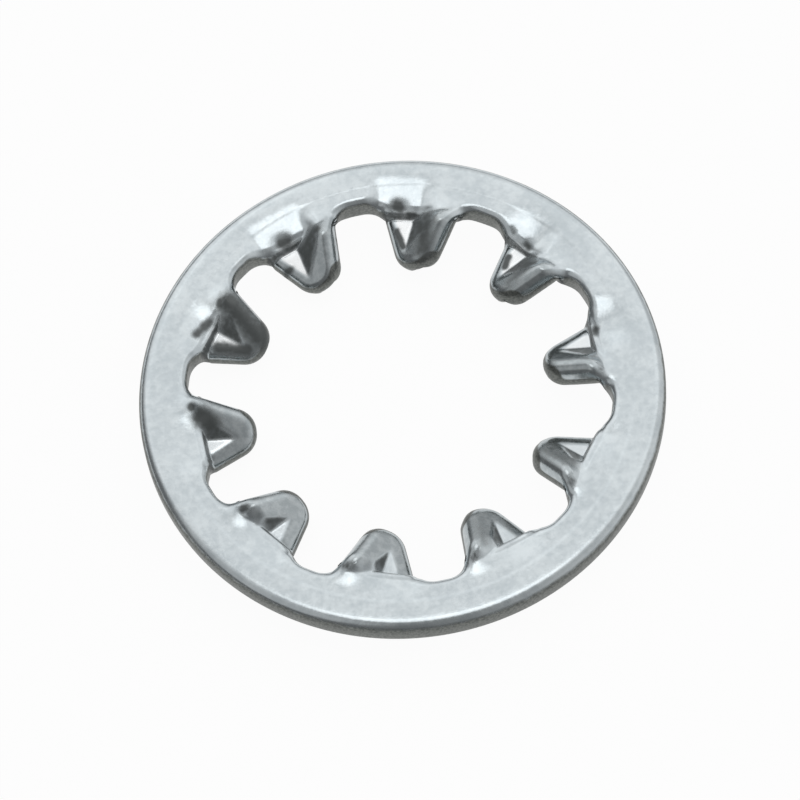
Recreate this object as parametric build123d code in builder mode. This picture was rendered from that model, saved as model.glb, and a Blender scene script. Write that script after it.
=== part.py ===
"""Internal-tooth lock washer for a 3/8 in bolt: a flat stamped ring with twisted, coined teeth.

The origin is on the washer's axis, at mid thickness of the ring, and +Z points out of the hole.
Tooth 0 lies on +X. Every tooth is twisted about its own radial line: seen from +Z its clockwise
side stands proud of the ring and its counter-clockwise side hangs below it.
"""

import os
from math import atan2, pi, tan

from build123d import *

# Ring, in millimetres
outer_diameter = 17.6
thickness = 1.0
rim_edge_radius = 0.33

# Teeth of the flat blank; the widths are those at the gullet floor and at the tip
tooth_count = 10
hole_diameter = 9.78
gullet_floor_diameter = 14.26
tooth_root_width = 3.06
tooth_tip_width = 1.14
gullet_corner_radius = 0.62
tip_corner_radius = 0.8
gullet_edge_radius = 0.25
tooth_edge_radius = 0.4

# Press work: a straight drafted crease at each root, then the twist and the droop
crease_diameter = 13.4
crease_draft = 13.0
root_overlap = 0.1
root_setback = 0.55
twist_angle = 30.0
droop_angle = 12.0

# Flat and wall that the punch leaves beside the middle line of a tooth's face
punch_foot_offset = 0.16
punch_foot_height = 0.11
punch_flat_angle = 3.0
punch_wall_angle = 50.0
punch_reach = 2.0

outer_radius = outer_diameter / 2
floor_radius = gullet_floor_diameter / 2
crease_radius = crease_diameter / 2
root_end = crease_radius + root_overlap
tooth_length = (gullet_floor_diameter - hole_diameter) / 2

# The flanks start halfway across the ring's land, so they meet the crease wherever it lies
flank_start = (outer_radius - floor_radius) / 2
flank_slope = (tooth_root_width - tooth_tip_width) / 2 / tooth_length
start_width = tooth_root_width + 2 * flank_slope * flank_start

# The round at the tip's corners fits on half the tip's width
tip_corner_limit = tooth_tip_width / 2 / tan((pi / 2 - atan2(flank_slope, 1)) / 2)
tip_corner_share = 0.98

# Outline of a tooth: x = 0 is the gullet floor, and the tip is on the -X side
with BuildSketch() as tooth_outline:
    with BuildLine():
        Polyline(
            (flank_start, start_width / 2),
            (-tooth_length, tooth_tip_width / 2),
            (-tooth_length, -tooth_tip_width / 2),
            (flank_start, -start_width / 2),
            close=True,
        )
    make_face()
    tip_corners = tooth_outline.vertices().group_by(Axis.X)[0]
    fillet(tip_corners, min(tip_corner_radius, tip_corner_share * tip_corner_limit))

# Stamped blank with flat teeth and rounded edges
with BuildPart() as blank:
    with BuildSketch() as blank_outline:
        Circle(outer_radius)
        Circle(floor_radius, mode=Mode.SUBTRACT)
        with PolarLocations(floor_radius, tooth_count):
            add(tooth_outline.sketch)
        fillet(blank_outline.vertices().group_by(SortBy.DISTANCE)[-2], gullet_corner_radius)
    extrude(amount=thickness / 2, both=True)
    flat_faces = blank.faces().filter_by(Axis.Z)
    rim_edges = [face.outer_wire().edges() for face in flat_faces]
    inner_edges = [face.inner_wires().edges() for face in flat_faces]
    fillet(rim_edges, rim_edge_radius)
    fillet(inner_edges, gullet_edge_radius)

# Ring left outside the creases, with a drafted wall down from both faces
with BuildPart() as ring:
    add(blank.part)
    for side in (1, -1):
        with BuildSketch(Plane.XY.offset(side * thickness / 2)):
            RegularPolygon(crease_radius, tooth_count, major_radius=False, rotation=180 / tooth_count)
        extrude(amount=-side * thickness / 2, taper=crease_draft, mode=Mode.SUBTRACT)

# Flat blade of one tooth
with BuildPart() as blade:
    add(tooth_outline.sketch)
    extrude(amount=thickness / 2, both=True)
    fillet(blade.faces().filter_by(Axis.Z).edges().filter_by(Axis.Y, reverse=True), tooth_edge_radius)

# Space that the punch leaves above its flat and beside its wall, from the crease inwards
with BuildPart() as punch:
    with BuildSketch(Plane.YZ.offset(root_end)):
        with BuildLine():
            wall = PolarLine((punch_foot_offset, punch_foot_height), punch_reach, 180 - punch_wall_angle)
            flat = PolarLine((punch_foot_offset, punch_foot_height), punch_reach, -punch_flat_angle)
            Polyline(wall @ 1, ((flat @ 1).X, (wall @ 1).Y), flat @ 1)
        make_face()
    extrude(amount=-tooth_length)

# Tooth 0: twisted about a line that droops from the gullet floor, its root sloping back from the
# ring's faces and punched on both faces
hinge = Pos(X=floor_radius) * Rot(Y=-droop_angle)
with BuildPart() as tooth:
    with Locations(hinge * Rot(X=-twist_angle)):
        add(blade.part)
    with BuildSketch(Plane.XZ) as root_profile:
        Polygon(
            (root_end, thickness / 2),
            (root_end - root_setback, thickness * 1.5),
            (0, thickness * 1.5),
            (0, -thickness * 1.5),
            (root_end - root_setback, -thickness * 1.5),
            (root_end, -thickness / 2),
            align=None,
        )
    extrude(amount=tooth_root_width, both=True, mode=Mode.INTERSECT)
    with Locations(Location(), hinge * Rot(X=180) * hinge.inverse()):
        add(punch.part, mode=Mode.SUBTRACT)

with BuildPart() as toothed_lock_washer:
    add(ring.part)
    with PolarLocations(0, tooth_count):
        add(tooth.part)

toothed_lock_washer.part.label = "toothed_lock_washer"
os.makedirs("parts", exist_ok=True)
export_step(toothed_lock_washer.part, "parts/toothed_lock_washer.step")
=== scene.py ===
"""Dressed model of the internal-tooth lock washer: mesh, zinc finish, floor, light and camera.

Lengths are in millimetres until a mesh is written, which is in metres. Angles are in degrees in
the named values and in radians in the code. Tooth 0 lies on +X, and +Z points out of the hole.

The mesh is made as the real washer is: a flat blank of one pitch, then the press work of each
tooth. On the blank, u is the distance from the axis along the tooth's middle line and v the
distance to its side. The lowered side is +v on the top face.
"""

import math

import bmesh
import bpy
import numpy as np
from mathutils import Matrix, Vector, geometry


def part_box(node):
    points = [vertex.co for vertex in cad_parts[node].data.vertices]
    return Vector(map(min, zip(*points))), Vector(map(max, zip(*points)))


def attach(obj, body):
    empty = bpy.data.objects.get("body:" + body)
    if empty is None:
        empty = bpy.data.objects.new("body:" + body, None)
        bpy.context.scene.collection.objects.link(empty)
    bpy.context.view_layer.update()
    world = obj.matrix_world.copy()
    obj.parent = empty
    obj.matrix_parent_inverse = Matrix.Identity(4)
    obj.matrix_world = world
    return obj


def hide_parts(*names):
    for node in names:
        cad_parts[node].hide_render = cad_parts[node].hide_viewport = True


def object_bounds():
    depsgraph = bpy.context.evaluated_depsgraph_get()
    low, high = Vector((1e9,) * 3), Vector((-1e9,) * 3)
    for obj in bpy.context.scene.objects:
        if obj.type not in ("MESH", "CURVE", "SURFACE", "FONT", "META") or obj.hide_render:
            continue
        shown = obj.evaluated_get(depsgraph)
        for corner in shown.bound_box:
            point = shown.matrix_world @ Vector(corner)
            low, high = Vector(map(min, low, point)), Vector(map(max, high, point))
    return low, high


NODE = "toothed_lock_washer"
MM = 0.001

# Flat blank, as in the part's source
TEETH = 10
THICKNESS = 1.0
RIM_EDGE = 0.33
TIP_RADIUS = 4.89
FLOOR_RADIUS = 7.13
ROOT_WIDTH = 3.06
TIP_WIDTH = 1.14
GULLET_CORNER = 0.62
TIP_CORNER = 0.8
GULLET_EDGE = 0.25
TOOTH_EDGE = 0.4

# How far the rim's edge rolls in from the outside, over the depth RIM_EDGE
RIM_ROLL = 0.40

# Press work of a tooth, as in the part's source but for the slant of the punch's foot
CREASE_RADIUS = 6.70
CREASE_DRAFT = 13.0
ROOT_OVERLAP = 0.1
TWIST = 30.0
DROOP = 12.0
FOOT_OFFSET = 0.16
FOOT_HEIGHT = 0.11
FOOT_SLANT = 9.0
FLAT_ANGLE = 3.0
WALL_ANGLE = 50.0

# The punches struck harder on one side of the washer: the direction of that side from +X, and what
# the hardest blow adds to the dip of the punch's foot, to its depth and to its offset from the
# middle line, and takes off the steepness of its wall. How hard a tooth was struck also sets the
# painted highlight on its flat, which the teeth on that side get
HARD_SIDE = 85.0
HARD_DIP = 0.5
HARD_DEPTH = 0.14
HARD_OFFSET = 0.07
HARD_WALL = 8.0

# Radii between which the ring turns into the twisted blade, and the radius where the press starts
# to shape the faces, which it does in full after RING_FADE. More than CORNER_START from the middle
# line all of them lie further in, by CORNER_LAG for each millimetre
BEND_START = 6.95
BEND_END = 6.45
RING_START = 6.98
RING_FADE = 0.17
CORNER_START = 1.25
CORNER_LAG = 0.55

# How round the pressed corners are: the punch's, the crease's, and that where the slope up from the
# ring meets the blade
SOFTNESS = 0.07
CREASE_SOFTNESS = 0.4
RAMP_SOFTNESS = 0.2

# Slope from the ring up to the blade, near the middle line and at the raised side, with the
# distance from the middle line where it starts to change and over which it does
RAMP_SLOPE = 0.35
ROOT_SLOPE = 1.2
RAMP_START = 0.4
RAMP_CHANGE = 0.35

# Width of the strip along the raised flank where the edge flows straight from ring to blade, and
# the distance from the middle line over which the raised side begins
FLANK_STRIP = 0.38
RAISED_FADE = 0.4

# Sag of the ring's face outside each lowered root, from tooth 0 on: where its first side lies and
# how wide that is, the same for its second side, the radius it reaches and its slope
SAGS = (
    (0.10, 0.9, 1.40, 1.1, 8.00, 0.17),
    (-0.10, 0.6, 1.10, 1.6, 8.00, 0.20),
    (-0.25, 0.6, 1.70, 0.6, 8.00, 0.17),
    (-0.50, 0.6, 1.65, 0.6, 8.00, 0.17),
    (-0.15, 0.9, 1.20, 0.6, 7.85, 0.13),
    (-0.35, 1.1, 1.30, 0.6, 7.80, 0.10),
    (-0.30, 1.1, 1.30, 0.6, 7.70, 0.08),
    (0.10, 0.9, 1.40, 0.6, 7.70, 0.08),
    (0.10, 0.9, 1.40, 0.6, 7.70, 0.08),
    (0.30, 0.9, 1.40, 0.6, 7.70, 0.08),
)
SAG_SOFTNESS = 0.2

# Swell outside each raised root, from tooth 0 on: distance of its middle to the lowered side, and
# its height. It fades over SWELL_REACH outwards, by the power SWELL_CURVE, and over SWELL_WIDTH to
# each side
SWELLS = ((-0.95, 0.08), (-0.95, 0.08), (-0.95, 0.08), (-0.75, 0.10), (-0.75, 0.13),
          (-0.95, 0.14), (-0.95, 0.13), (-0.96, 0.12), (-0.98, 0.11), (-1.00, 0.09))
SWELL_REACH = 0.7
SWELL_WIDTH = 0.62
SWELL_CURVE = 1.6

# Marks on the teeth: tooth, the two ends of the mark as distance from the axis and
# distance to the lowered side, its half width, its depth, and how dark the painted shade in it is.
# Where a mark has depth it is a dent that the punches left, with painted shade in its hollow; the
# shallow ones on the blades are painted shade that darkens their highlights
MARKS = (
    (0, (6.70, -1.00), (6.70, -0.90), 0.15, 0.02, 0.60),
    (0, (6.86, 0.72), (6.84, 0.62), 0.16, 0.04, 0.90),
    (1, (6.90, 0.42), (6.88, 0.34), 0.16, 0.05, 0.90),
    (1, (6.98, 1.14), (6.94, 1.04), 0.11, 0.03, 0.70),
    (1, (6.24, 0.70), (5.90, 0.54), 0.14, 0.01, 1.00),
    (1, (6.40, -0.22), (5.40, -0.15), 0.26, 0.00, 0.60),
    (2, (6.94, 0.86), (6.92, 0.74), 0.25, 0.06, 1.00),
    (2, (6.72, 0.45), (6.70, 0.20), 0.10, 0.01, 0.80),
    (2, (6.20, 0.78), (5.60, 0.50), 0.13, 0.01, 1.00),
    (2, (6.50, -0.25), (5.40, -0.25), 0.40, 0.00, 0.80),
    (3, (6.92, 0.60), (6.92, 0.46), 0.28, 0.06, 1.00),
    (3, (6.62, -0.55), (6.50, -0.15), 0.24, 0.01, 0.90),
    (3, (6.12, 0.92), (6.06, 0.80), 0.15, 0.02, 0.90),
    (4, (6.88, -0.62), (6.84, -0.50), 0.16, 0.02, 1.00),
    (4, (7.14, 0.74), (6.92, 0.15), 0.19, 0.02, 0.90),
    (4, (6.55, -0.65), (5.20, -0.10), 0.50, 0.00, 0.95),
    (4, (6.40, 0.74), (5.40, 0.42), 0.24, 0.00, 0.95),
    (5, (6.90, -0.90), (6.86, -0.82), 0.15, 0.03, 1.00),
    (5, (6.64, -0.50), (6.35, -0.15), 0.40, 0.00, 0.95),
    (6, (6.72, -0.86), (6.60, -0.76), 0.15, 0.02, 1.00),
    (7, (6.68, -1.02), (6.68, -0.90), 0.15, 0.02, 0.90),
    (8, (6.72, -1.02), (6.72, -0.94), 0.14, 0.02, 0.80),
    (8, (6.30, -0.45), (5.50, -0.30), 0.36, 0.00, 0.40),
    (9, (6.72, -1.04), (6.72, -0.96), 0.15, 0.02, 0.70),
    (9, (6.40, -0.32), (5.40, -0.20), 0.36, 0.00, 0.55),
)

# Painted shade on the crease's wall and on the punch's wall, partly the real dark of rough punched
# metal, and what is added to the share of sheared metal's dark colour at a tooth's edge, as a factor:
# at the top's tips and lowered flanks, at all edges underneath, where it is painted shade, and on the
# top's raised flanks. Those were rubbed bright, from RUBBED_START behind the tip and in full after
# RUBBED_FADE
WALL_SHADE_AND_GRIME = 0.75
PUNCH_WALL_SHADE_AND_GRIME = 0.8
TOP_CUT = 0.5
UNDER_EDGE_SHADE = 1.5
FLANK_CUT = -1.0
RUBBED_START = 0.3
RUBBED_FADE = 0.6

# Height differences over which one finish gives way to another: between the facets of a tooth, from
# the blade to the crease's wall, from that wall to the ring, and at the border of the flat's painted
# highlight.
# The last value is the share of its fade that the punch wall's painted shade has before the wall
# starts
FACET_FADE = 0.1
CREASE_FADE = 0.06
WALL_FADE = 0.1
FLAT_HIGHLIGHT_FADE = 0.05
EARLY_SHADE_AND_GRIME = 0.3

# Mesh density: length of the steps along the outline, number round the edges, length along the rim,
# number along the pitch's sides, and the grids on the tooth and on the ring, which meet at
# GRID_LIMIT, with half their widths
CONTOUR_STEP = 0.06
EDGE_STEPS = 6
RIM_STEP = 0.11
SIDE_STEPS = 8
TOOTH_GRID = 0.06
RING_GRID = 0.16
GRID_LIMIT = 7.35
TOOTH_GRID_SIDE = 2.3
RING_GRID_SIDE = 2.9

# Denser rows along the crease: the first radius, the last and their number, then the step along a
# row and half its length
CREASE_ROWS = (6.76, 6.44, 15)
CREASE_STEP = 0.06
CREASE_SIDE = 1.6

# Share of its step that each grid keeps clear of the border, the distance within which two points
# are one, in the plan and at the seams between pitches, and the parts in which a plan is measured
CREASE_CLEAR = 0.5
TOOTH_CLEAR = 0.6
RING_CLEAR = 0.55
MERGE_PLAN = 1e-7
MERGE_SEAM = 1e-3
PLAN_PARTS = 8

# Differences between the teeth, in degrees, and how far the teeth lie off the rim's centre, in
# millimetres. That shift fades out over the last OFF_CENTRE_FADE before OFF_CENTRE_END
SEED = 7
TWIST_SPREAD = 1.2
DROOP_SPREAD = 0.8
OFF_CENTRE = (-0.083, 0.042)
OFF_CENTRE_END = 8.4
OFF_CENTRE_FADE = 0.9

# Camera of the photograph, in degrees and millimetres, with the picture 800 pixels wide
CAMERA_PLAN = -95.48
CAMERA_ELEVATION = 63.27
CAMERA_ROLL = -7.05
CAMERA_DISTANCE = 176.0
FOCAL_PIXELS = 5272.8
PICTURE = 800
CENTRE_PIXEL = (402.24, 394.87)
SENSOR = 36.0
CLIP_START = 10.0
CLIP_END = 10000.0

# Zinc finish: linear colours of the ring's faces, of the painted highlight on the flats of the teeth
# struck hardest, of the twisted blades, the sheared edges, which underneath are painted shade, and the
# painted shade in creases, dents and on blades
FACE_DULL = (0.505, 0.555, 0.58)
FACE_BRIGHT = (0.625, 0.675, 0.695)
FACE_SPECK = (0.68, 0.72, 0.73)
PAINTED_FLAT_HIGHLIGHT = (0.85, 0.865, 0.87)
BLADE_DULL = (0.40, 0.44, 0.455)
BLADE_BRIGHT = (0.50, 0.54, 0.555)
CUT_AND_SHADE_DARK = (0.115, 0.123, 0.118)
CUT_AND_SHADE_LIGHT = (0.20, 0.208, 0.196)
SHADE_AND_GRIME = (0.10, 0.11, 0.11)

# Patterns in the zinc: scale per millimetre, detail and roughness of each noise, the values between
# which a noise goes from the dark to the light colour, and where specks start and how far they show
CLOUDS = (0.8, 3, 0.5)
MOTTLE = (4.0, 4, 0.6)
GRAIN = (14.0, 3, 0.6)
PATTERN_STOPS = (0.35, 0.65)
SPECK_STOPS = ((0.6, 0.0), (0.8, 0.5))

# Where each finish starts and is full, as a value of its mask, and how far the mottle moves that
CUT_AND_SHADE_STOPS = ((0.7, 0.0), (0.92, 1.0))
CUT_AND_SHADE_WANDER = 0.2
BLADE_STOPS = ((0.3, 0.0), (0.8, 1.0))
BLADE_WANDER = 0.3
SHADE_AND_GRIME_STOPS = ((0.12, 0.0), (0.9, 1.0))
SHADE_AND_GRIME_WANDER = 0.7

# Roughness, what the mottle adds to it and what the sheared edges and the painted shade add, and how
# far the painted shade takes the metal's shine away
ROUGHNESS = 0.14
MOTTLE_ROUGHNESS = 0.1
EDGE_AND_SHADE_ROUGHNESS = 0.2
SHADE_AND_GRIME_DULLS = 0.8

# Height of the mottle's bumps in millimetres, the share of it that the grain adds, and the faint
# step round the ring: the two radii between which it rises, and its height
BUMP = 0.004
GRAIN_BUMP = 0.5
SCRIBE = (7.69, 7.85)
SCRIBE_STEP = 0.009

# Studio: a wide soft glow on the far side, a lamp above, a panel on the right, and small ones on the
# left and at the back on the left. Directions are (elevation, turn to the right of the far side),
# and stops are (cosine of the angle from that direction, level)
KEY_WAY = (50.0, 0.0)
KEY_STOPS = ((0.0, 0.2), (0.42, 0.18), (0.55, 0.2), (0.70, 0.31), (0.77, 0.58), (0.85, 0.8),
             (0.958, 0.79), (0.972, 0.94), (0.985, 1.0))
LAMP_WAY = (84.0, 0.0)
LAMP_STOPS = ((0.971, 0.0), (0.982, 0.85))
RIGHT_WAY = (20.0, 85.0)
RIGHT_STOPS = ((0.05, 0.0), (0.35, 0.1), (0.71, 0.33), (0.85, 0.45), (0.95, 0.6), (1.0, 0.65))
LEFT_WAY = (50.0, -115.0)
LEFT_STOPS = ((0.85, 0.0), (0.95, 0.36))
BACK_WAY = (38.0, -38.0)
BACK_STOPS = ((0.86, 0.0), (0.95, 0.32))

# Floor: half its side in metres, its grey and roughness, and how white the camera and the metal
# see it
FLOOR_SIZE = 2.0
FLOOR_GREY = 0.9
FLOOR_ROUGHNESS = 0.9
FLOOR_WHITE = 0.95

PITCH = math.tau / TEETH
HALF = THICKNESS / 2


def smooth(t):
    """Smooth step of t from 0 to 1"""
    t = np.clip(t, 0, 1)
    return t * t * (3 - 2 * t)


def mix(a, b, t):
    return a + (b - a) * t


def soft_min(a, b, width=SOFTNESS):
    """Lower of two heights, with a rounded corner where they cross"""
    t = np.clip(0.5 + 0.5 * (b - a) / width, 0, 1)
    return mix(b, a, t) - width * t * (1 - t)


def soft_max(a, b, width=SOFTNESS):
    return -soft_min(-a, -b, width)


def turn(points, angle):
    """Plan points turned about the axis"""
    c, s = math.cos(angle), math.sin(angle)
    return points @ np.array([[c, s], [-s, c]])


def arc(centre, radius, start, end, step):
    """Points and outward directions along an arc, without its last point"""
    count = max(2, round(abs(end - start) * radius / step))
    a = np.linspace(start, end, count + 1)[:-1]
    out = np.column_stack([np.cos(a), np.sin(a)])
    return centre + radius * out, out


def half_contour():
    """Outline from the middle of a tip to the middle of the next gullet: points, normals into the
    metal, and the radius of the rounded edge"""
    root = np.array([FLOOR_RADIUS, ROOT_WIDTH / 2])
    tip = np.array([TIP_RADIUS, TIP_WIDTH / 2])
    along = (root - tip) / np.linalg.norm(root - tip)
    air = np.array([-along[1], along[0]])
    turned = math.acos(along[1])
    tip_centre = tip + np.array([TIP_CORNER, -TIP_CORNER * math.tan(turned / 2)])
    tip_points, tip_out = arc(tip_centre, TIP_CORNER, math.pi, math.pi - turned, CONTOUR_STEP)

    # The gullet corner touches the flank and, from inside, the gullet floor
    base = root + GULLET_CORNER * air
    reach = FLOOR_RADIUS - GULLET_CORNER
    slide = -base @ along + math.sqrt((base @ along) ** 2 - base @ base + reach**2)
    corner = base + slide * along
    corner_angle = math.atan2(corner[1], corner[0])
    corner_points, corner_out = arc(
        corner, GULLET_CORNER, math.atan2(-air[1], -air[0]), corner_angle, CONTOUR_STEP)
    floor_points, floor_out = arc(
        np.zeros(2), FLOOR_RADIUS, corner_angle, PITCH / 2, CONTOUR_STEP)

    flank = [tip_centre + TIP_CORNER * air, corner - GULLET_CORNER * air]
    count = round(np.linalg.norm(flank[1] - flank[0]) / CONTOUR_STEP)
    flank_points = mix(flank[0], flank[1], np.arange(count)[:, None] / count)
    last = FLOOR_RADIUS * np.array([[math.cos(PITCH / 2), math.sin(PITCH / 2)]])

    points = np.vstack([[[TIP_RADIUS, 0]], tip_points, flank_points, corner_points, floor_points, last])
    normals = np.vstack([[[1, 0]], -tip_out, np.tile(-air, (count, 1)), corner_out, floor_out,
                         last / FLOOR_RADIUS])
    blend = np.concatenate([np.zeros(1 + len(tip_points) + count),
                            smooth(np.linspace(0, 1, len(corner_points))),
                            np.ones(len(floor_points) + 1)])
    return points, normals, mix(TOOTH_EDGE, GULLET_EDGE, blend)


def contour():
    """Inner outline of one whole pitch, from gullet middle to gullet middle"""
    points, normals, radii = half_contour()
    flip = np.array([1, -1])
    return (np.vstack([points[:0:-1] * flip, points]),
            np.vstack([normals[:0:-1] * flip, normals]),
            np.concatenate([radii[:0:-1], radii]))


def inside(points, polygon):
    """Which points lie in a closed polygon"""
    a, b = polygon, np.roll(polygon, -1, 0)
    x, y = points[:, :1], points[:, 1:]
    crosses = (a[:, 1] > y) != (b[:, 1] > y)
    with np.errstate(divide="ignore", invalid="ignore"):
        at = a[:, 0] + (y - a[:, 1]) / (b[:, 1] - a[:, 1]) * (b[:, 0] - a[:, 0])
    return (crosses & (x < at)).sum(1) % 2 == 1


def even_rows(start, end, step):
    """Radii of rows whose points form even triangles with sides of one step"""
    return np.arange(start, end, step * math.sqrt(0.75))


def staggered(rows, side, step):
    """Points along rows of given radii, to one distance on both sides, each row shifted by half a
    step against the next"""
    across = np.arange(-side, side, step)
    return np.vstack([np.column_stack([np.full(len(across), x), across + step / 2 * (i % 2)])
                      for i, x in enumerate(rows)])


def fill_points(polygon, outer):
    """Points within a pitch's border: dense on the tooth and denser across the crease"""
    first, last, count = CREASE_ROWS
    crease = staggered(np.linspace(first, last, count), CREASE_SIDE, CREASE_STEP)
    fine = staggered(even_rows(TIP_RADIUS, GRID_LIMIT, TOOTH_GRID), TOOTH_GRID_SIDE, TOOTH_GRID)
    margin = TOOTH_GRID / 2
    fine = fine[(fine[:, 0] < last - margin) | (fine[:, 0] > first + margin)]
    coarse = staggered(even_rows(GRID_LIMIT, outer, RING_GRID), RING_GRID_SIDE, RING_GRID)
    found = []
    for points, gap in ((crease, CREASE_CLEAR * CREASE_STEP),
                        (fine, TOOTH_CLEAR * TOOTH_GRID),
                        (coarse, RING_CLEAR * RING_GRID)):
        points = points[inside(points, polygon)]
        near = np.sqrt(((points[:, None] - polygon[None]) ** 2).sum(2)).min(1)
        found.append(points[near > gap])
    return np.vstack(found)


class Sheet:
    """One face of the blank over one pitch: plan points, depth below the face, triangles and quads"""

    def __init__(self):
        line, normals, radii = contour()
        self.size = len(line)
        turns = np.linspace(0, math.pi / 2, EDGE_STEPS + 1)
        loops = [line + normals * (radii * (1 - math.cos(a)))[:, None] for a in turns]
        depths = [radii * (1 - math.sin(a)) for a in turns]

        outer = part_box(NODE)[1][0] / MM
        self.rim_size = round(PITCH * outer / RIM_STEP) + 1
        angles = np.linspace(-PITCH / 2, PITCH / 2, self.rim_size)
        round_rim = np.column_stack([np.cos(angles), np.sin(angles)])
        self.rim_start = sum(map(len, loops))
        loops += [round_rim * (outer - RIM_ROLL * (1 - math.cos(a))) for a in turns]
        depths += [np.full(self.rim_size, RIM_EDGE * (1 - math.sin(a))) for a in turns]

        # Side lines of the pitch, from the inner edge loop to the rim's edge loop
        steps = np.linspace(0, 1, SIDE_STEPS + 1)[1:-1, None]
        inner, rim = loops[EDGE_STEPS], loops[-1]
        self.side_start = self.rim_start + self.rim_size * (EDGE_STEPS + 1)
        loops += [mix(inner[0], rim[0], steps), mix(inner[-1], rim[-1], steps)]
        depths += [np.zeros(SIDE_STEPS - 1)] * 2

        polygon = np.vstack([inner, loops[-1], rim[::-1], loops[-2][::-1]])
        fill = fill_points(polygon, outer)
        self.plan = np.vstack([*loops, fill])
        self.depth = np.concatenate([*depths, np.zeros(len(fill))])
        self.quads = self.strips()
        self.triangles = self.mesh_inside(len(polygon), len(fill))
        edge = np.zeros(len(self.plan))
        for i, a in enumerate(turns):
            edge[i * self.size:(i + 1) * self.size] = math.cos(a)
            start = self.rim_start + i * self.rim_size
            edge[start:start + self.rim_size] = math.cos(a)
        self.edge = edge

    def strips(self):
        """Quads along the rounded edges of the inner outline and of the rim"""
        quads = []
        for start, size, flip in ((0, self.size, False), (self.rim_start, self.rim_size, True)):
            for i in range(EDGE_STEPS):
                a = start + i * size + np.arange(size - 1)
                quad = np.column_stack([a, a + 1, a + size + 1, a + size])
                quads.append(quad if flip else quad[:, ::-1])
        return np.vstack(quads)

    def mesh_inside(self, border, filled):
        """Triangles between the two innermost edge loops"""
        n = self.size
        inner = np.arange(EDGE_STEPS * n, (EDGE_STEPS + 1) * n)
        rim = self.rim_start + EDGE_STEPS * self.rim_size + np.arange(self.rim_size)
        left = self.side_start + np.arange(SIDE_STEPS - 1)
        right = left + SIDE_STEPS - 1
        ring = np.concatenate([inner, right, rim[::-1], left[::-1]])
        index = np.concatenate([ring, np.arange(len(self.plan) - filled, len(self.plan))])
        edges = [(i, (i + 1) % border) for i in range(border)]
        plan = [Vector(point) for point in self.plan[index]]
        found = geometry.delaunay_2d_cdt(plan, edges, [], 1, MERGE_PLAN)
        assert len(found[0]) == len(index), "the plan's points were merged"
        tri = index[np.array(found[2])]
        a, b, c = (self.plan[tri[:, i]] for i in range(3))
        ab, ac = b - a, c - a
        turned = ab[:, 0] * ac[:, 1] - ab[:, 1] * ac[:, 0]
        tri[turned < 0] = tri[turned < 0][:, ::-1]
        return tri


def beyond(u, v):
    """Distance along the tooth, counted further out beside it, where the gullet corners are"""
    return u + CORNER_LAG * np.maximum(abs(v) - CORNER_START, 0)


def flank_distance(plan):
    """Distance of plan points from the tooth's flanks and tip"""
    line = contour()[0]
    near = line[line[:, 0] < BEND_START]
    return np.concatenate([np.sqrt(((part[:, None] - near[None]) ** 2).sum(2)).min(1)
                           for part in np.array_split(plan, PLAN_PARTS)])


def twisted_blade(u, v, w, twist, sink):
    """Where the twist and the droop take points of the blank's face: x and y, which stay as they are
    outside the bend, the blade's height z, and the bend itself, from 0 on the ring to 1 on the blade"""
    y = v * math.cos(twist) + w * math.sin(twist)
    z = w * math.cos(twist) - v * math.sin(twist)
    x = (u - FLOOR_RADIUS) * math.cos(sink) - z * math.sin(sink) + FLOOR_RADIUS
    z = (u - FLOOR_RADIUS) * math.sin(sink) + z * math.cos(sink)
    bend = smooth((BEND_START - beyond(u, v)) / (BEND_START - BEND_END))
    return mix(u, x, bend), mix(v, y, bend), z, bend


def punch_mark(x, y, sink, blow):
    """Heights of the flat and of the wall that the punch leaves, to the two sides of its foot"""
    inwards = CREASE_RADIUS - x
    foot = FOOT_HEIGHT - HARD_DEPTH * blow - math.tan(math.radians(HARD_DIP * blow)) * inwards
    foot += math.tan(math.radians(DROOP) - sink) * (FLOOR_RADIUS - x)
    aside = y - FOOT_OFFSET - HARD_OFFSET * blow - math.tan(math.radians(FOOT_SLANT)) * inwards
    return (foot - aside * math.tan(math.radians(FLAT_ANGLE)),
            foot - aside * math.tan(math.radians(WALL_ANGLE - HARD_WALL * blow)))


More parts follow.
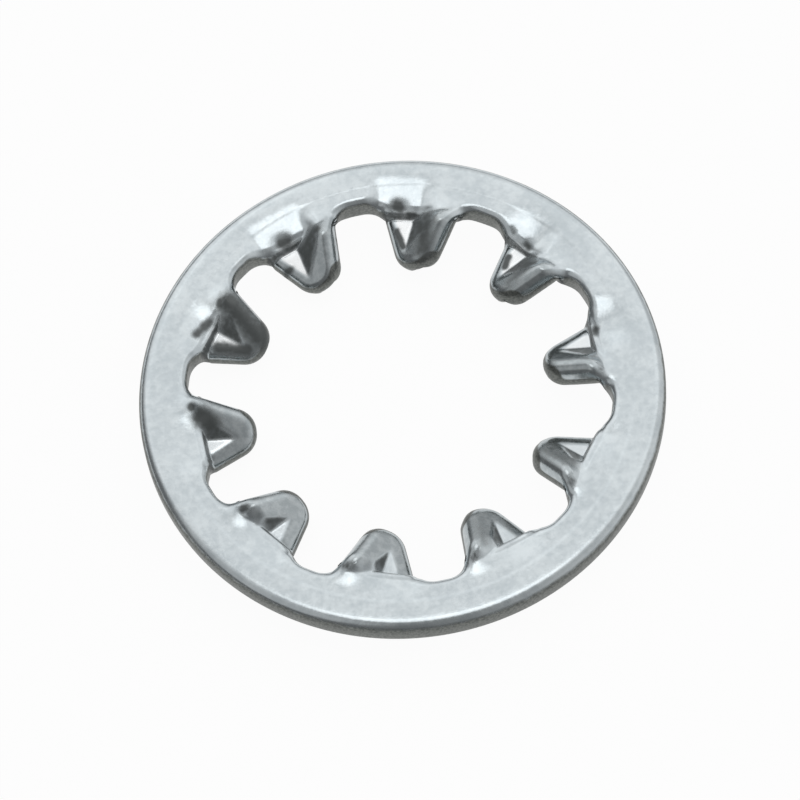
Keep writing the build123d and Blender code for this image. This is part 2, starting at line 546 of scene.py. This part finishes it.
def press(sheet, relief, side, twist, droop, blow):
    """Pressed shape of one face of the sheet, and its finish masks. side is 1 on the top and -1
    underneath, where the same tooth is seen after a half turn about its own line. blow is how hard
    the punch struck, from 0 to 1"""
    u, v = sheet.plan[:, 0], sheet.plan[:, 1] * side
    w = HALF - sheet.depth
    x, y, z, bend = twisted_blade(u, v, w, twist, droop * side)
    flat_top, wall_top = punch_mark(x, y, droop * side, blow)
    punch = soft_max(flat_top, wall_top)
    blade = soft_min(z, punch - sheet.depth)

    # The ring's face stands over the lowered half and slopes up to the raised half
    ring = w + relief
    drop = (CREASE_RADIUS - x) / math.tan(math.radians(CREASE_DRAFT))
    low = soft_min(ring, ring - drop, CREASE_SOFTNESS)
    slope = mix(RAMP_SLOPE, ROOT_SLOPE, smooth((-y - RAMP_START) / RAMP_CHANGE))
    high = ring + np.maximum(CREASE_RADIUS + ROOT_OVERLAP - beyond(x, y), 0) * slope
    height = soft_min(soft_max(blade, low), high, RAMP_SOFTNESS)

    # Along the raised flank the edge flows straight from the ring into the blade
    raised = smooth(-v / RAISED_FADE)
    flank = 1 - smooth((flank_distance(sheet.plan) - 0.5 * FLANK_STRIP) / FLANK_STRIP)
    height = mix(height, mix(ring, z, bend), flank * raised)
    pressed = smooth((RING_START - beyond(u, v)) / RING_FADE)
    shape = np.column_stack([x, y * side, mix(ring, height, pressed) * side])

    # Finish: painted shade on the two walls, the painted highlight on the flat, and how far the sheared
    # edge's dark colour reaches, which underneath is painted shade
    on_wall = smooth((wall_top - flat_top) / FACET_FADE + 0.5)
    crease_wall = smooth((low - blade) / CREASE_FADE + 0.5) * smooth((ring - low) / WALL_FADE)
    punch_wall = bend * smooth((z - punch) / FACET_FADE + EARLY_SHADE_AND_GRIME) * on_wall
    walls = np.maximum(WALL_SHADE_AND_GRIME * crease_wall, PUNCH_WALL_SHADE_AND_GRIME * punch_wall)
    # Painted highlight on the punched flat, strongest on the teeth struck hardest
    painted_flat_highlight = blow * bend * smooth((z - punch) / FLAT_HIGHLIGHT_FADE) * (1 - on_wall)
    rubbed = raised * smooth((u - TIP_RADIUS - RUBBED_START) / RUBBED_FADE)
    # Underneath, the sheared edges' dark colour spreads over the rounded edges as painted shade
    widened = mix(TOP_CUT, FLANK_CUT, rubbed) if side > 0 else UNDER_EDGE_SHADE
    return shape, {
        "edge": np.clip(sheet.edge * (1 + bend * widened), 0, 1),
        "worked": bend * smooth(0.5 + (punch - sheet.depth - z) / FACET_FADE) * pressed,
        "painted_flat_highlight": painted_flat_highlight * pressed,
        "shade_and_grime": walls * (1 - flank * raised) * pressed,
    }


def ring_relief(plan, side, tooth):
    """Height that the press work adds to the ring's face outside the creases"""
    u, v = plan[:, 0], plan[:, 1] * side
    first, first_width, second, second_width, radius, slope = SAGS[tooth]
    sunk = slope * soft_max(radius - u, 0, SAG_SOFTNESS) * smooth((v - first) / first_width + 0.5)
    sunk *= 1 - smooth((v - second) / second_width + 0.5)
    middle, height = SWELLS[tooth]
    swell = height * np.clip(1 - (u - CREASE_RADIUS) / SWELL_REACH, 0, 1) ** SWELL_CURVE
    swell *= 1 - smooth(abs(v - middle) / SWELL_WIDTH)
    return swell - sunk


def marks(shape, side, tooth):
    """Depth of a tooth's marks at each point of a face, and the painted shade in them"""
    depth, shade_and_grime = np.zeros(len(shape)), np.zeros(len(shape))
    for number, start, end, width, deep, dark in MARKS:
        if number == tooth:
            start, run = np.array(start), np.subtract(end, start)
            from_start = shape[:, :2] * (1, side) - start
            along = np.clip(from_start @ run / (run @ run), 0, 1)
            away = np.linalg.norm(from_start - along[:, None] * run, axis=1) / width
            share = np.exp(-away**2)
            depth += deep * share
            shade_and_grime = np.maximum(shade_and_grime, dark * share)
    return depth, shade_and_grime


def tooth_face(sheet, tooth, side, twist, droop):
    """One face of one pitch in its place on the washer, and its finish masks"""
    blow = 0.5 + 0.5 * math.cos(tooth * PITCH - math.radians(HARD_SIDE))
    relief = ring_relief(sheet.plan, side, tooth)
    shape, masks = press(sheet, relief, side, twist, droop, blow)
    depth, dark = marks(shape, side, tooth)
    # The marks' painted shade joins the painted shade on the walls
    masks["shade_and_grime"] = np.maximum(dark, masks["shade_and_grime"])
    shape[:, 2] -= side * depth
    shape[:, :2] = turn(shape[:, :2], tooth * PITCH)
    away = np.linalg.norm(shape[:, :2], axis=1)
    shape[:, :2] += np.array(OFF_CENTRE) * smooth((OFF_CENTRE_END - away) / OFF_CENTRE_FADE)[:, None]
    return shape, masks


def washer_mesh():
    """Vertices, faces and the finish masks of the whole washer"""
    sheet = Sheet()
    rng = np.random.default_rng(SEED)
    count = len(sheet.plan)
    points, faces, masks = [], [], []
    for k in range(TEETH):
        twist = math.radians(TWIST + TWIST_SPREAD * rng.uniform(-1, 1))
        droop = math.radians(DROOP + DROOP_SPREAD * rng.uniform(-1, 1))
        for side in (1, -1):
            start = len(points) * count
            shape, finish = tooth_face(sheet, k, side, twist, droop)
            points.append(shape)
            masks.append(finish)
            for part in (sheet.triangles, sheet.quads):
                faces += ((part if side > 0 else part[:, ::-1]) + start).tolist()
        top, under = start - count, start
        for first, size, flip in ((0, sheet.size, False), (sheet.rim_start, sheet.rim_size, True)):
            a = np.arange(size - 1) + first
            wall = np.column_stack([a + top, a + 1 + top, a + 1 + under, a + under])
            faces += (wall[:, ::-1] if flip else wall).tolist()
    joined = {name: np.concatenate([finish[name] for finish in masks]) for name in masks[0]}
    return np.vstack(points), faces, joined


def make_washer():
    """The washer's dressed mesh, which replaces the CAD node"""
    points, faces, masks = washer_mesh()
    mesh = bpy.data.meshes.new("washer_dressed")
    mesh.from_pydata((points * MM).tolist(), [], faces)
    for name, values in masks.items():
        layer = mesh.attributes.new(name, "FLOAT", "POINT")
        layer.data.foreach_set("value", values.astype(np.float32))
    weld(mesh)
    mesh.shade_smooth()
    piece = bpy.data.objects.new("washer_dressed", mesh)
    bpy.context.scene.collection.objects.link(piece)
    mesh.materials.append(zinc())
    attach(piece, "root")
    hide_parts(NODE)


def weld(mesh):
    """Join the pitches along the gullet middles"""
    bm = bmesh.new()
    bm.from_mesh(mesh)
    bmesh.ops.remove_doubles(bm, verts=bm.verts, dist=MERGE_SEAM * MM)
    bm.to_mesh(mesh)
    bm.free()


def plug(tree, socket, value):
    """Give a socket a value, or link another socket into it"""
    if isinstance(value, bpy.types.NodeSocket):
        tree.links.new(value, socket)
    else:
        socket.default_value = value


def add(tree, kind, **values):
    """A shader node with its sockets and properties set by name"""
    node = tree.nodes.new("ShaderNode" + kind)
    for name, value in values.items():
        socket = name.replace("_", " ")
        if socket in node.inputs:
            plug(tree, node.inputs[socket], value)
        else:
            setattr(node, name.lower(), value)
    return node


def maths(tree, operation, a, b):
    """Sum, product or the like of two values"""
    node = tree.nodes.new("ShaderNodeMath")
    node.operation = operation
    plug(tree, node.inputs[0], a)
    plug(tree, node.inputs[1], b)
    return node.outputs[0]


def ramp(tree, value, *stops):
    """Colour or grey that follows a value through stops of (position, colour)"""
    node = add(tree, "ValToRGB", Fac=value)
    node.color_ramp.interpolation = "EASE"
    elements = node.color_ramp.elements
    while len(elements) < len(stops):
        elements.new(0.5)
    for element, (position, colour) in zip(elements, stops):
        element.position = position
        grey = isinstance(colour, (int, float))
        element.color = (colour, colour, colour, 1) if grey else (*colour, 1)
    return node.outputs["Color"]


def blend_colours(tree, amount, a, b):
    """Colour that goes from a to b with the amount"""
    node = tree.nodes.new("ShaderNodeMix")
    node.data_type = "RGBA"
    plug(tree, node.inputs["Factor"], amount)
    plug(tree, node.inputs[6], a)
    plug(tree, node.inputs[7], b)
    return node.outputs[2]


def noise(tree, place, pattern):
    """Grey noise of a pattern of (scale, detail, roughness)"""
    scale, detail, roughness = pattern
    return add(tree, "TexNoise", Vector=place, Scale=scale, Detail=detail,
               Roughness=roughness).outputs["Fac"]


def between(tree, value, dark, light):
    """Colour that goes from dark to light as a noise rises through its middle"""
    low, high = PATTERN_STOPS
    return ramp(tree, value, (low, dark), (high, light))


def finish_share(tree, name, stops, mottle, wander):
    """Share of a finish, from the mesh's mask of that name, with a border that wanders"""
    share = add(tree, "Attribute", Attribute_name=name).outputs["Fac"]
    moved = maths(tree, "MULTIPLY", maths(tree, "SUBTRACT", mottle, 0.5), wander)
    return ramp(tree, maths(tree, "ADD", share, moved), *stops)


def zinc():
    """Bright zinc on stamped steel: even mottled faces, duller twisted blades, a painted highlight on
    the punched flats, dark sheared edges spread as painted shade underneath, and painted shade in the
    creases, dents and on the blades"""
    material = bpy.data.materials.new("zinc_plate")
    material.use_nodes = True
    tree = material.node_tree
    shader = tree.nodes["Principled BSDF"]
    here = add(tree, "TexCoord").outputs["Object"]
    place = add(tree, "Mapping", Vector=here, Scale=(1 / MM,) * 3).outputs["Vector"]
    clouds = noise(tree, place, CLOUDS)
    mottle = noise(tree, place, MOTTLE)
    grain = noise(tree, place, GRAIN)
    cut_and_shade = finish_share(tree, "edge", CUT_AND_SHADE_STOPS, mottle, CUT_AND_SHADE_WANDER)
    blade = finish_share(tree, "worked", BLADE_STOPS, mottle, BLADE_WANDER)
    shade_and_grime = finish_share(tree, "shade_and_grime", SHADE_AND_GRIME_STOPS, mottle, SHADE_AND_GRIME_WANDER)
    painted_flat_highlight = add(tree, "Attribute", Attribute_name="painted_flat_highlight").outputs["Fac"]

    patches = maths(tree, "MULTIPLY", maths(tree, "ADD", clouds, mottle), 0.5)
    colour = between(tree, patches, FACE_DULL, FACE_BRIGHT)
    colour = blend_colours(tree, ramp(tree, grain, *SPECK_STOPS), colour, (*FACE_SPECK, 1))
    # Painted highlight on the punched flats
    colour = blend_colours(tree, painted_flat_highlight, colour, (*PAINTED_FLAT_HIGHLIGHT, 1))
    colour = blend_colours(tree, blade, colour, between(tree, mottle, BLADE_DULL, BLADE_BRIGHT))
    # Dark sheared edges, spread underneath as painted shade
    colour = blend_colours(tree, cut_and_shade, colour, between(tree, grain, CUT_AND_SHADE_DARK, CUT_AND_SHADE_LIGHT))
    # Painted shade on the walls, in the dents and on the blades
    colour = blend_colours(tree, shade_and_grime, colour, (*SHADE_AND_GRIME, 1))
    plug(tree, shader.inputs["Base Color"], colour)

    # Roughness rises on the sheared edges and where shade is painted
    edge_and_shade_roughness = maths(tree, "MULTIPLY", maths(tree, "ADD", cut_and_shade, shade_and_grime), EDGE_AND_SHADE_ROUGHNESS)
    rough = maths(tree, "ADD", maths(tree, "MULTIPLY", mottle, MOTTLE_ROUGHNESS), ROUGHNESS)
    plug(tree, shader.inputs["Roughness"], maths(tree, "ADD", rough, edge_and_shade_roughness))
    dulled = maths(tree, "MULTIPLY", shade_and_grime, SHADE_AND_GRIME_DULLS)
    plug(tree, shader.inputs["Metallic"], maths(tree, "SUBTRACT", 1.0, dulled))

    flat_place = add(tree, "VectorMath", Operation="MULTIPLY", Vector=place)
    flat_place.inputs[1].default_value = (1, 1, 0)
    away = add(tree, "VectorMath", Operation="LENGTH", Vector=flat_place.outputs["Vector"])
    scribe = add(tree, "MapRange", Value=away.outputs["Value"], From_Min=SCRIBE[0], From_Max=SCRIBE[1],
                 To_Max=SCRIBE_STEP / BUMP, Interpolation_type="SMOOTHSTEP").outputs["Result"]
    height = maths(tree, "ADD", mottle, maths(tree, "MULTIPLY", grain, GRAIN_BUMP))
    height = maths(tree, "ADD", height, scribe)
    bump = add(tree, "Bump", Height=height, Strength=1.0, Distance=BUMP * MM)
    plug(tree, shader.inputs["Normal"], bump.outputs["Normal"])
    return material


def make_floor():
    """Pale floor that looks white itself and in the metal, with a faint shadow"""
    mesh = bpy.data.meshes.new("floor")
    s = FLOOR_SIZE
    mesh.from_pydata([(-s, -s, 0), (s, -s, 0), (s, s, 0), (-s, s, 0)], [], [(0, 1, 2, 3)])
    floor = bpy.data.objects.new("floor", mesh)
    floor.location.z = min(cad_low.z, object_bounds()[0].z)
    bpy.context.scene.collection.objects.link(floor)
    material = bpy.data.materials.new("pale_floor")
    material.use_nodes = True
    tree = material.node_tree
    shader = tree.nodes["Principled BSDF"]
    shader.inputs["Base Color"].default_value = (FLOOR_GREY, FLOOR_GREY, FLOOR_GREY, 1)
    shader.inputs["Roughness"].default_value = FLOOR_ROUGHNESS
    path = add(tree, "LightPath").outputs
    mirrored = maths(tree, "MAXIMUM", path["Is Glossy Ray"], path["Is Transmission Ray"])
    seen = maths(tree, "MAXIMUM", path["Is Camera Ray"], mirrored)
    glow = add(tree, "Emission", Strength=1.0)
    mixed = tree.nodes.new("ShaderNodeMixShader")
    plug(tree, mixed.inputs["Fac"], maths(tree, "MULTIPLY", seen, FLOOR_WHITE))
    plug(tree, mixed.inputs[1], shader.outputs["BSDF"])
    plug(tree, mixed.inputs[2], glow.outputs["Emission"])
    plug(tree, tree.nodes["Material Output"].inputs["Surface"], mixed.outputs["Shader"])
    mesh.materials.append(material)


def make_world():
    """Soft studio light: the sum of the glows named above. The camera itself sees white"""
    world = bpy.data.worlds.new("studio")
    bpy.context.scene.world = world
    world.use_nodes = True
    tree = world.node_tree
    way = add(tree, "TexCoord").outputs["Generated"]
    plan = math.radians(CAMERA_PLAN)
    away = -Vector((math.cos(plan), math.sin(plan), 0))
    right = Vector((away.y, -away.x, 0))

    def glow(direction, stops):
        high, aside = (math.radians(angle) for angle in direction)
        level = away * math.cos(aside) + right * math.sin(aside)
        near = add(tree, "VectorMath", Operation="DOT_PRODUCT")
        plug(tree, near.inputs[0], way)
        plug(tree, near.inputs[1], level * math.cos(high) + Vector((0, 0, math.sin(high))))
        return ramp(tree, near.outputs["Value"], *stops)

    light = glow(KEY_WAY, KEY_STOPS)
    for direction, stops in ((LAMP_WAY, LAMP_STOPS), (RIGHT_WAY, RIGHT_STOPS),
                             (LEFT_WAY, LEFT_STOPS), (BACK_WAY, BACK_STOPS)):
        light = maths(tree, "ADD", light, glow(direction, stops))
    seen = add(tree, "LightPath").outputs["Is Camera Ray"]
    plug(tree, tree.nodes["Background"].inputs["Color"],
         blend_colours(tree, seen, light, (1, 1, 1, 1)))


def make_camera():
    """Camera that shows the washer as the photograph does"""
    camera = bpy.data.objects.new("camera", bpy.data.cameras.new("camera"))
    bpy.context.scene.collection.objects.link(camera)
    bpy.context.scene.camera = camera
    plan, high = math.radians(CAMERA_PLAN), math.radians(CAMERA_ELEVATION)
    camera.location = CAMERA_DISTANCE * MM * Vector(
        (math.cos(high) * math.cos(plan), math.cos(high) * math.sin(plan), math.sin(high)))
    look = (-camera.location).to_track_quat("-Z", "Y").to_matrix()
    camera.rotation_euler = (look @ Matrix.Rotation(math.radians(CAMERA_ROLL), 3, "Z")).to_euler()
    camera.data.sensor_width = SENSOR
    camera.data.lens = FOCAL_PIXELS / PICTURE * SENSOR
    camera.data.shift_x = (PICTURE / 2 - CENTRE_PIXEL[0]) / PICTURE
    camera.data.shift_y = (CENTRE_PIXEL[1] - PICTURE / 2) / PICTURE
    camera.data.clip_start = CLIP_START * MM
    camera.data.clip_end = CLIP_END * MM


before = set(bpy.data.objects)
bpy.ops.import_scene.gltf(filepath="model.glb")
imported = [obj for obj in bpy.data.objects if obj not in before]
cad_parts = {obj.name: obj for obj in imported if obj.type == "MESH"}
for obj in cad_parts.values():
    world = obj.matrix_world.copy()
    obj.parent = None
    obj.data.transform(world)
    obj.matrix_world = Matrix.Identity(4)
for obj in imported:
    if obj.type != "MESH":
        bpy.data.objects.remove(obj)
cad_low, cad_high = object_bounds()
make_washer()
make_floor()
make_world()
make_camera()
bpy.context.scene.view_settings.view_transform = "Standard"
